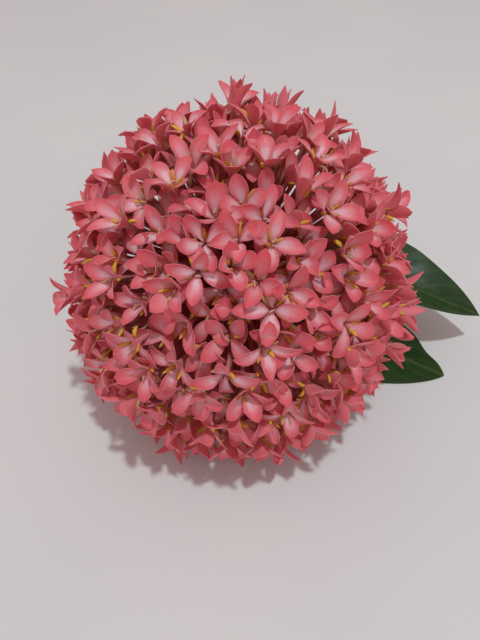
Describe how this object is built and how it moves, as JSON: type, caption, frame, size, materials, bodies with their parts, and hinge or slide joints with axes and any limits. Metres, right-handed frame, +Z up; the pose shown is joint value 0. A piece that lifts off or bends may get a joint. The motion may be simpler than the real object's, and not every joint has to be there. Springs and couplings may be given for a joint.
{
  "type": "ixora flower head",
  "caption": "Round head of small pink star-shaped florets on a short cut leafy sprig, lying on its side with glossy green leaves behind it.",
  "frame": {"origin": "middle of the part's footprint, on the surface that it lies on", "axes": "+Z up from the surface, -Y to the side that the florets face, +X to the right of that view, along the longest extent"},
  "size_m": [0.156, 0.1394, 0.1041],
  "materials": {
    "petals": "soft matt coral pink, paler on the inner faces of the lobes",
    "leaf": "glossy deep green above, paler and matt below",
    "stem": "matt green going brown towards the cut"
  },
  "bodies": {
    "root": {"flower_head": "petals", "stem": "stem", "leaf_right": "leaf", "leaf_front": "leaf", "leaf_back": "leaf", "leaf_left": "leaf"}
  },
  "joints": []
}
